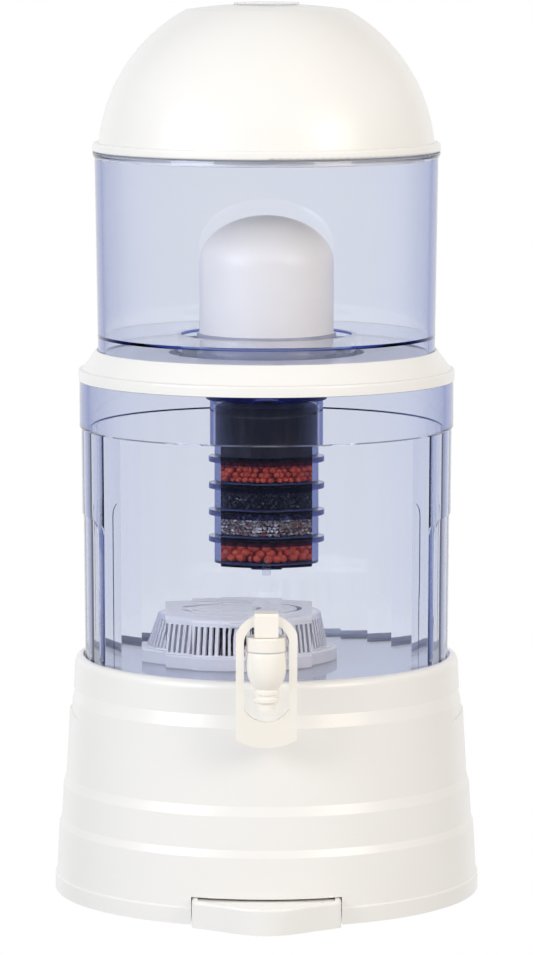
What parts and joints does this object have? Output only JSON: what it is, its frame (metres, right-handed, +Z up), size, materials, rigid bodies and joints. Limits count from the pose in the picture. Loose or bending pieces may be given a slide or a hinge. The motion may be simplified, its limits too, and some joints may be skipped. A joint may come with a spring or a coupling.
{
  "type": "gravity water filter",
  "caption": "Two-tank gravity water filter: domed lid, clear tanks with a ceramic dome and a media cartridge, mineral basket, lever tap, banded white stand and drip tray.",
  "frame": {"origin": "on the table, at the centre of the stand's foot ring", "axes": "+Z up along the tanks' axis, -Y towards the tap, +X to the right seen from the tap"},
  "size_m": [0.288, 0.3192, 0.6003],
  "materials": {
    "white_plastic": "warm white, smooth gloss",
    "clear_blue_plastic": "clear with a blue tint, polished",
    "clear_plastic": "clear, polished",
    "basket_plastic": "pale lavender grey, half clear",
    "dark_stone": "tumbled stones",
    "steel": "plain pin",
    "silicone": "soft, milky",
    "white_ceramic": "fine porous ceramic",
    "grey_plastic": "pale grey",
    "carbon": "black granules",
    "red_ceramic": "matt red-brown balls",
    "mixed_sand": "grey, white and brown grains",
    "felt": "thin white felt"
  },
  "bodies": {
    "stand": {"stand": "white_plastic"},
    "drip_tray": {"drip_tray": "white_plastic"},
    "lower_tank": {"lower_tank": "clear_blue_plastic", "tap_body": "white_plastic", "tap_bonnet": "white_plastic", "tap_bonnet_gasket": "silicone", "tap_nozzle": "white_plastic", "tap_outer_washer": "silicone", "tap_inner_washer": "silicone", "tap_nut": "white_plastic"},
    "tap_lever": {"tap_lever": "white_plastic", "tap_lever_pin": "steel"},
    "tap_stem": {"tap_stem": "white_plastic", "tap_seal": "silicone"},
    "basket": {"basket_base": "basket_plastic", "basket_grille": "basket_plastic", "mineral_stones": "dark_stone"},
    "basket_lid": {"basket_lid": "basket_plastic"},
    "middle_cover": {"middle_cover": "white_plastic"},
    "upper_tank": {"upper_tank": "clear_blue_plastic", "ceramic_dome": "white_ceramic", "ceramic_base": "grey_plastic", "ceramic_gasket": "silicone", "stem_washer": "silicone", "wing_nut": "white_plastic"},
    "cartridge": {"cartridge_cap": "clear_blue_plastic", "cartridge_oring": "silicone", "carbon_chamber": "clear_blue_plastic", "carbon_bed": "carbon", "cartridge_outlet": "clear_blue_plastic", "red_balls_small": "red_ceramic", "dark_granules": "carbon", "mineral_sand": "mixed_sand", "red_balls_large": "red_ceramic", "stage_cup_1": "clear_blue_plastic", "stage_cup_2": "clear_blue_plastic", "stage_cup_3": "clear_blue_plastic", "stage_cup_4": "clear_blue_plastic", "media_pad_1": "felt", "media_pad_2": "felt", "media_pad_3": "felt", "media_pad_4": "felt"},
    "lid": {"lid_dome": "white_plastic", "lid_crown_disc": "clear_plastic"}
  },
  "joints": [
    {"name": "drip_tray_pull", "type": "slide", "parent": "stand", "child": "drip_tray", "axis": [0, -1, 0], "range_m": [0, 0.08]},
    {"name": "lower_tank_lift", "type": "slide", "parent": "stand", "child": "lower_tank", "axis": [0, 0, 1], "range_m": [0, 0.06]},
    {"name": "tap_lever_press", "type": "hinge", "parent": "lower_tank", "child": "tap_lever", "pos_m": [0, -0.171, 0.1972], "axis": [1, 0, 0], "range_deg": [0, 10], "stiffness_Nm_per_rad": 0.05, "springref_deg": -5.73},
    {"name": "tap_stem_lift", "type": "slide", "parent": "lower_tank", "child": "tap_stem", "axis": [0, 0, 1], "range_m": [0, 0.0016]},
    {"name": "basket_lift", "type": "slide", "parent": "lower_tank", "child": "basket", "axis": [0, 0, 1], "range_m": [0, 0.02]},
    {"name": "basket_lid_twist", "type": "hinge", "parent": "basket", "child": "basket_lid", "pos_m": [-0.0185, 0, 0.1869], "axis": [0, 0, 1], "range_deg": [0, 25]},
    {"name": "cover_lift", "type": "slide", "parent": "lower_tank", "child": "middle_cover", "axis": [0, 0, 1], "range_m": [0, 0.05]},
    {"name": "upper_tank_lift", "type": "slide", "parent": "middle_cover", "child": "upper_tank", "axis": [0, 0, 1], "range_m": [0, 0.16]},
    {"name": "cartridge_unscrew", "type": "hinge", "parent": "upper_tank", "child": "cartridge", "pos_m": [0, 0, 0.3424], "axis": [0, 0, 1], "range_deg": [0, 360]},
    {"name": "lid_lift", "type": "slide", "parent": "upper_tank", "child": "lid", "axis": [0, 0, 1], "range_m": [0, 0.2]}
  ],
  "couplings": [
    {"joint": "tap_stem_lift", "follows": "tap_lever_press", "m_per_rad": 0.0085}
  ]
}
